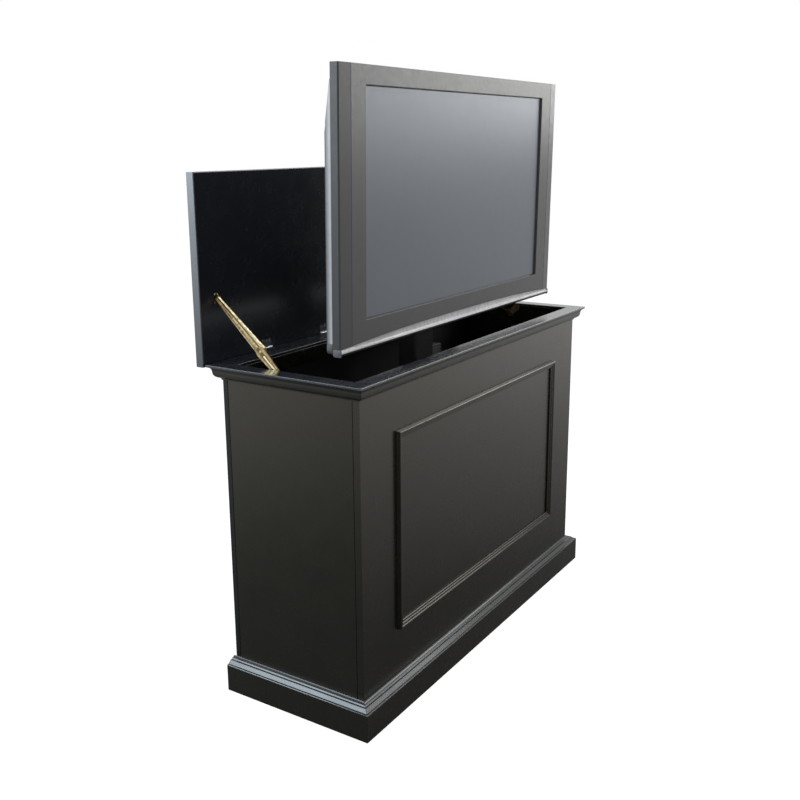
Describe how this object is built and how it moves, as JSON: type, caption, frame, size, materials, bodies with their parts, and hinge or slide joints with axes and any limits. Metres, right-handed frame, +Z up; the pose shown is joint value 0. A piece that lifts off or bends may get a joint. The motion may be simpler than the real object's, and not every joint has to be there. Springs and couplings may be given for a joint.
{
  "type": "tv lift cabinet",
  "caption": "Console cabinet in satin black with crown, plinth and panel moulding, a rear-hinged lid on folding stays, and a flat television that rises on a telescopic column.",
  "frame": {"origin": "on the floor under the middle of the bounding box, with the lid open and the television raised", "axes": "+X to the cabinet's right as seen from the front, +Y to the rear, +Z up; the front faces -Y"},
  "size_m": [1.274, 0.493, 1.5659],
  "materials": {
    "lacquer": "satin black lacquer on sanded board",
    "lacquer_inside": "matt black lacquer on board",
    "black_plastic": "fine matt grain",
    "chrome": "polished",
    "brass": "satin plated sheet",
    "steel": "dark grey powder coat",
    "motor_casing": "zinc grey, cast gearbox and drawn motor can",
    "grey_plastic": "fine matt grain",
    "bezel": "satin charcoal",
    "silver": "silver satin",
    "back_cover": "fine textured",
    "screen": "matt anti-glare, switched off"
  },
  "bodies": {
    "root": {"plinth_front": "lacquer", "plinth_left": "lacquer", "plinth_right": "lacquer", "plinth_back": "lacquer", "front_panel": "lacquer", "side_panel_left": "lacquer", "side_panel_right": "lacquer", "base_cap_front": "lacquer", "base_cap_left": "lacquer", "base_cap_right": "lacquer", "panel_moulding_bottom": "lacquer", "panel_moulding_top": "lacquer", "panel_moulding_left": "lacquer", "panel_moulding_right": "lacquer", "top_frame": "lacquer", "rear_cleat": "lacquer", "crown_front": "lacquer", "crown_left": "lacquer", "crown_right": "lacquer", "crown_rear": "lacquer", "floor_cleat_left": "lacquer_inside", "floor_cleat_right": "lacquer_inside", "floor_panel": "lacquer_inside", "back_panel": "lacquer_inside", "access_panel": "black_plastic", "cable_grommet": "black_plastic", "lift_outer_collar": "black_plastic", "hinge_rail_leaf_1": "chrome", "hinge_rail_leaf_2": "chrome", "hinge_rail_leaf_3": "chrome", "hinge_rail_leaf_4": "chrome", "stay_wall_bracket_left": "brass", "stay_wall_bracket_right": "brass", "lift_base_plate": "steel", "lift_outer_column": "steel", "lift_motor": "motor_casing", "lift_control_box": "grey_plastic"},
    "lift_middle_stage": {"lift_middle_column": "steel", "lift_middle_collar": "black_plastic"},
    "lift_carriage": {"lift_inner_column": "steel", "lift_head_bracket": "steel", "vesa_rail_left": "steel", "vesa_rail_right": "steel", "tv_bezel": "bezel", "tv_side_strip_left": "bezel", "tv_side_strip_right": "bezel", "tv_screen": "screen", "tv_chin_strip": "silver", "tv_back_cover": "back_cover"},
    "lid": {"lid_panel": "lacquer", "hinge_lid_leaf_1": "chrome", "hinge_lid_leaf_2": "chrome", "hinge_lid_leaf_3": "chrome", "hinge_lid_leaf_4": "chrome", "stay_lid_bracket_left": "brass", "stay_lid_bracket_right": "brass"},
    "stay_upper_left": {"stay_upper_arm_left": "brass"},
    "stay_upper_right": {"stay_upper_arm_right": "brass"},
    "stay_lower_left": {"stay_lower_arm_left": "brass"},
    "stay_lower_right": {"stay_lower_arm_right": "brass"}
  },
  "joints": [
    {"name": "lift_middle", "type": "slide", "parent": "root", "child": "lift_middle_stage", "axis": [0, 0, 1], "range_m": [-0.385, 0]},
    {"name": "lift_inner", "type": "slide", "parent": "lift_middle_stage", "child": "lift_carriage", "axis": [0, 0, 1], "range_m": [-0.3851, 0.0001]},
    {"name": "lid_hinge", "type": "hinge", "parent": "root", "child": "lid", "pos_m": [0, 0.219, 0.874], "axis": [1, 0, 0], "range_deg": [-0.05, 90.05]},
    {"name": "stay_upper_left_hinge", "type": "hinge", "parent": "lid", "child": "stay_upper_left", "pos_m": [-0.583, 0.2135, 1.03], "axis": [1, 0, 0], "range_deg": [-119.1, 0.05]},
    {"name": "stay_lower_left_hinge", "type": "hinge", "parent": "root", "child": "stay_lower_left", "pos_m": [-0.583, -0.0025, 0.8395], "axis": [1, 0, 0], "range_deg": [-0.05, 142.45]},
    {"name": "stay_upper_right_hinge", "type": "hinge", "parent": "lid", "child": "stay_upper_right", "pos_m": [0.583, 0.2135, 1.03], "axis": [1, 0, 0], "range_deg": [-119.1, 0.05]},
    {"name": "stay_lower_right_hinge", "type": "hinge", "parent": "root", "child": "stay_lower_right", "pos_m": [0.583, -0.0025, 0.8395], "axis": [1, 0, 0], "range_deg": [-0.05, 142.45]}
  ],
  "couplings": [
    {"joint": "lift_inner", "follows": "lift_middle", "ratio": 1},
    {"joint": "lid_hinge", "follows": "lift_middle", "rad_per_m": -4.08},
    {"joint": "stay_upper_left_hinge", "follows": "lift_middle", "rad_per_m": 5.3967},
    {"joint": "stay_lower_left_hinge", "follows": "lift_middle", "rad_per_m": -6.4553},
    {"joint": "stay_upper_right_hinge", "follows": "lift_middle", "rad_per_m": 5.3967},
    {"joint": "stay_lower_right_hinge", "follows": "lift_middle", "rad_per_m": -6.4553}
  ]
}
